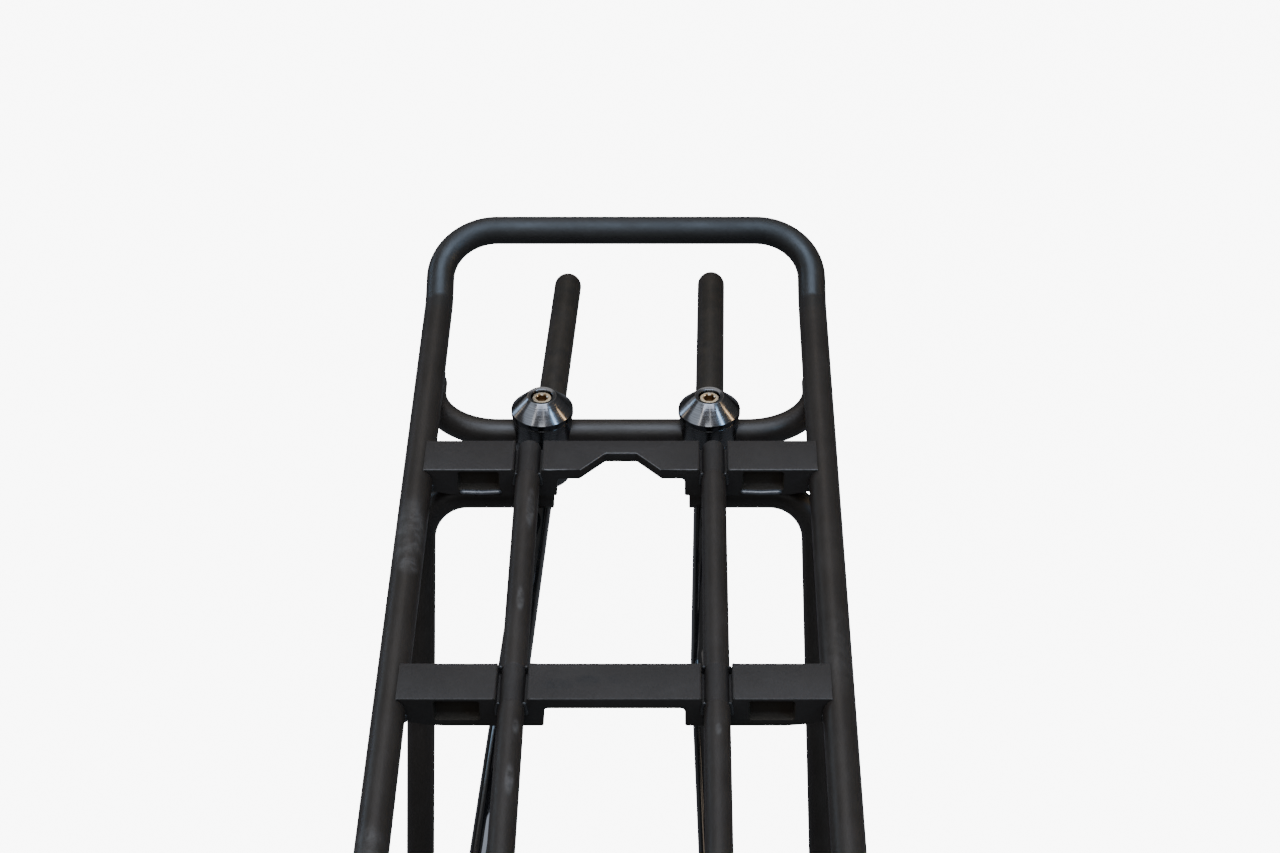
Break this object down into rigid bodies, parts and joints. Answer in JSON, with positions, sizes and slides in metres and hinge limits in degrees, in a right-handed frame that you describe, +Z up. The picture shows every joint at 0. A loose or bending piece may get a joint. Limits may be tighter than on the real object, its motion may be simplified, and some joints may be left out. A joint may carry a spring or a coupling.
{
  "type": "rear rack",
  "caption": "Tubular bicycle rear rack: hooped deck with crossplates and rails, V legs to dropout feet, and sliding, swivelling stay rods in clamps under the tail.",
  "frame": {"origin": "centre of the middle crossplate's top face, on the deck's load plane", "axes": "+Z up, square to the deck; +Y along the deck towards the tail of the bicycle; +X across the rack"},
  "size_m": [0.192, 0.594, 0.373],
  "materials": {
    "frame_paint": "satin black powder coat on aluminium tube",
    "plate_paint": "fine matte black powder coat on aluminium",
    "stay_gloss": "smooth glossy black on aluminium rod",
    "clamp_black": "turned and black anodised, with fine lathe rings",
    "stainless": "bright stainless fasteners"
  },
  "bodies": {
    "rack": {"deck_tube": "frame_paint", "crossplate_rear": "plate_paint", "crossplate_middle": "plate_paint", "crossplate_front": "plate_paint", "rail_rear_left": "frame_paint", "rail_rear_right": "frame_paint", "rail_front_left": "frame_paint", "rail_front_right": "frame_paint", "clamp_bar": "frame_paint", "clamp_cap_left": "clamp_black", "clamp_saddle_upper_left": "clamp_black", "clamp_saddle_lower_left": "clamp_black", "clamp_bolt_left": "stainless", "leg_rear_left": "frame_paint", "leg_front_left": "frame_paint", "foot_plate_left": "frame_paint", "foot_washer_left": "stainless", "foot_bolt_left": "stainless", "clamp_cap_right": "clamp_black", "clamp_saddle_upper_right": "clamp_black", "clamp_saddle_lower_right": "clamp_black", "clamp_bolt_right": "stainless", "leg_rear_right": "frame_paint", "leg_front_right": "frame_paint", "foot_plate_right": "frame_paint", "foot_washer_right": "stainless", "foot_bolt_right": "stainless"},
    "swivel_left": {"clamp_eye_left": "clamp_black"},
    "stay_left": {"stay_rod_left": "stay_gloss", "stay_washer_left": "stainless", "stay_bolt_left": "stainless"},
    "swivel_right": {"clamp_eye_right": "clamp_black"},
    "stay_right": {"stay_rod_right": "stay_gloss", "stay_washer_right": "stainless", "stay_bolt_right": "stainless"}
  },
  "joints": [
    {"name": "swivel_left_turn", "type": "hinge", "parent": "rack", "child": "swivel_left", "pos_m": [-0.0348, 0.179, -0.035], "axis": [0, 0, 1], "range_deg": [-2, 4]},
    {"name": "swivel_right_turn", "type": "hinge", "parent": "rack", "child": "swivel_right", "pos_m": [0.0374, 0.179, -0.035], "axis": [0, 0, 1], "range_deg": [-4, 4]},
    {"name": "stay_left_slide", "type": "slide", "parent": "swivel_left", "child": "stay_left", "axis": [0.0471, 0.9989, 0], "range_m": [-0.11, 0.1]},
    {"name": "stay_right_slide", "type": "slide", "parent": "swivel_right", "child": "stay_right", "axis": [0.0157, 0.9999, 0], "range_m": [-0.11, 0.1]}
  ]
}
